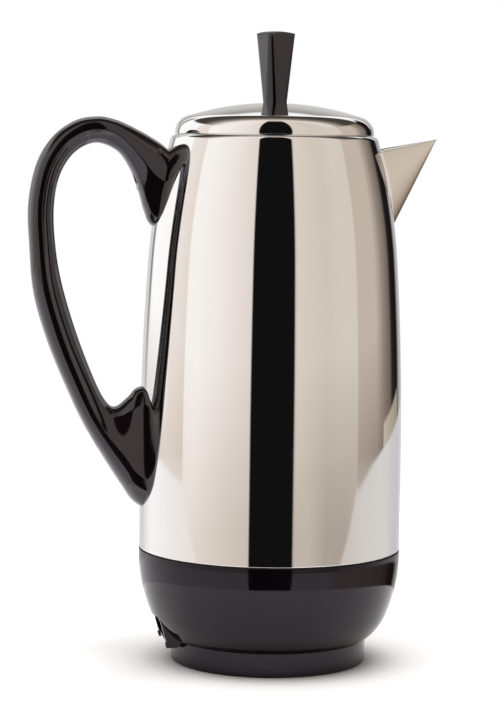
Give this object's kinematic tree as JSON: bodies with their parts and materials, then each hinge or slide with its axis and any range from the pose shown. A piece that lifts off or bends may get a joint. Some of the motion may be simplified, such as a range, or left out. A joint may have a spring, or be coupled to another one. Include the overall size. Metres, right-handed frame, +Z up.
{
  "type": "electric coffee percolator",
  "caption": "Tall polished steel coffee percolator with a domed lid and knob, a loop handle, a V spout, a pump and basket inside, and a dark heated base with a mains inlet.",
  "frame": {"origin": "centre of the foot ring's underside, on the vessel's axis, at the height of the table", "axes": "+Z up along the vessel's axis, +X toward the spout, -X toward the handle and the mains inlet, +Y completes the right-handed frame"},
  "size_m": [0.2057, 0.1318, 0.3156],
  "materials": {
    "polished_steel": "mirror polished stainless steel",
    "plain_steel": "plain",
    "aluminium": "satin",
    "phenolic": "glossy moulded",
    "satin_plastic": "satin moulded",
    "gasket_rubber": "matt",
    "heater_body": "matt",
    "ceramic_body": "matt",
    "plated_pin": "plated",
    "lead_sleeve": "woven glass sleeve"
  },
  "bodies": {
    "vessel": {"vessel_shell": "polished_steel", "heater_well": "polished_steel", "spout": "polished_steel", "base_housing": "satin_plastic", "seam_gasket": "gasket_rubber", "base_cover": "satin_plastic", "base_washer": "plain_steel", "base_nut": "plain_steel", "centre_stud": "plain_steel", "main_heater": "heater_body", "heater_plate": "plain_steel", "clamp_nut": "plain_steel", "keep_warm_heater": "heater_body", "thermostat": "ceramic_body", "thermal_fuse": "plain_steel", "inlet_block": "ceramic_body", "inlet_pin_line": "plated_pin", "inlet_pin_neutral": "plated_pin", "wire_line": "lead_sleeve", "wire_heater": "lead_sleeve", "wire_neutral": "lead_sleeve", "wire_fuse": "lead_sleeve", "handle": "phenolic", "handle_bracket_upper": "plain_steel", "handle_bracket_lower": "plain_steel", "handle_screw_upper": "plain_steel", "handle_screw_lower": "plain_steel"},
    "pump": {"pump_tube": "aluminium", "pump_foot": "aluminium", "basket_stop": "aluminium", "valve_retainer": "aluminium"},
    "valve": {"pump_valve": "aluminium"},
    "basket": {"basket_cup": "aluminium", "basket_sleeve": "aluminium"},
    "spreader": {"spreader_disc": "aluminium"},
    "lid": {"lid_shell": "polished_steel", "lid_skirt": "polished_steel", "lid_knob": "phenolic", "knob_washer": "plain_steel", "knob_screw": "plain_steel"}
  },
  "joints": [
    {"name": "pump_lift", "type": "slide", "parent": "vessel", "child": "pump", "axis": [0, 0, 1], "range_m": [0, 0.24]},
    {"name": "valve_lift", "type": "slide", "parent": "pump", "child": "valve", "axis": [0, 0, 1], "range_m": [0, 0.003]},
    {"name": "basket_lift", "type": "slide", "parent": "pump", "child": "basket", "axis": [0, 0, 1], "range_m": [0, 0.085]},
    {"name": "spreader_lift", "type": "slide", "parent": "basket", "child": "spreader", "axis": [0, 0, 1], "range_m": [0, 0.03]},
    {"name": "lid_lift", "type": "slide", "parent": "spreader", "child": "lid", "axis": [0, 0, 1], "range_m": [0, 0.06]}
  ]
}
